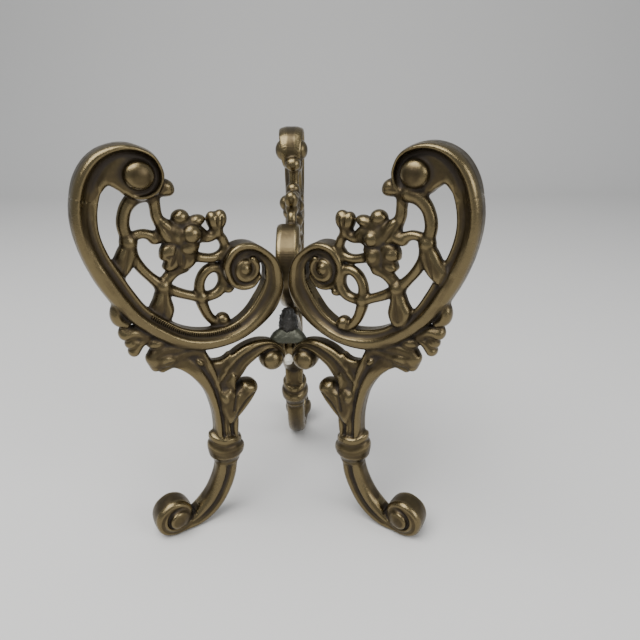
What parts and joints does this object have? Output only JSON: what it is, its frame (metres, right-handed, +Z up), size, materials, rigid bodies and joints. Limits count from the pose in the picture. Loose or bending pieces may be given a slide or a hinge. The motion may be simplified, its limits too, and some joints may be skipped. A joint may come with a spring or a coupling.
{
  "type": "three-legged display stand",
  "caption": "Three-legged cast-brass display stand of openwork scroll brackets, with curled feet and a floral spray inside each scroll.",
  "frame": {"origin": "middle of the bounding box on the plane that the three feet stand on", "axes": "+Z up; +Y towards the rear bracket; +X towards the right bracket's side. The stand's own axis is upright, 26.67 mm in front of the origin."},
  "size_m": [0.2076, 0.181, 0.2462],
  "materials": {
    "aged_brass": "aged cast, brown patina in the hollows",
    "rubbed_brass": "aged cast, rubbed bright on the high spots",
    "filler": "dull grey-green",
    "pitch": "dark matt"
  },
  "bodies": {
    "root": {"hub_web": "filler", "hub_plug": "pitch", "left_scroll_head": "rubbed_brass", "left_scroll_crown": "rubbed_brass", "left_scroll_back": "aged_brass", "left_scroll_base": "aged_brass", "left_scroll_volute": "aged_brass", "left_beak_leaf": "aged_brass", "left_flower": "aged_brass", "left_bud_link": "aged_brass", "left_outer_tendril": "aged_brass", "left_lower_tendril": "aged_brass", "left_loop_hook": "aged_brass", "left_heel_leaf": "aged_brass", "left_heel_bud": "aged_brass", "left_leg_arm": "aged_brass", "left_leg_fork": "aged_brass", "left_leg_leaf": "aged_brass", "left_leg_collar": "aged_brass", "left_shin": "aged_brass", "left_foot_scroll": "rubbed_brass", "right_scroll_head": "rubbed_brass", "right_scroll_crown": "rubbed_brass", "right_scroll_back": "aged_brass", "right_scroll_base": "aged_brass", "right_scroll_volute": "aged_brass", "right_beak_leaf": "aged_brass", "right_flower": "aged_brass", "right_bud_link": "aged_brass", "right_outer_tendril": "aged_brass", "right_lower_tendril": "aged_brass", "right_loop_hook": "aged_brass", "right_heel_leaf": "aged_brass", "right_heel_bud": "aged_brass", "right_leg_arm": "aged_brass", "right_leg_fork": "aged_brass", "right_leg_leaf": "aged_brass", "right_leg_collar": "aged_brass", "right_shin": "aged_brass", "right_foot_scroll": "rubbed_brass", "rear_scroll_head": "rubbed_brass", "rear_scroll_crown": "rubbed_brass", "rear_scroll_back": "aged_brass", "rear_scroll_base": "aged_brass", "rear_scroll_volute": "aged_brass", "rear_beak_leaf": "aged_brass", "rear_flower": "aged_brass", "rear_bud_link": "aged_brass", "rear_outer_tendril": "aged_brass", "rear_lower_tendril": "aged_brass", "rear_loop_hook": "aged_brass", "rear_heel_leaf": "aged_brass", "rear_heel_bud": "aged_brass", "rear_leg_arm": "aged_brass", "rear_leg_fork": "aged_brass", "rear_leg_leaf": "aged_brass", "rear_leg_collar": "aged_brass", "rear_shin": "aged_brass", "rear_foot_scroll": "rubbed_brass"}
  },
  "joints": []
}
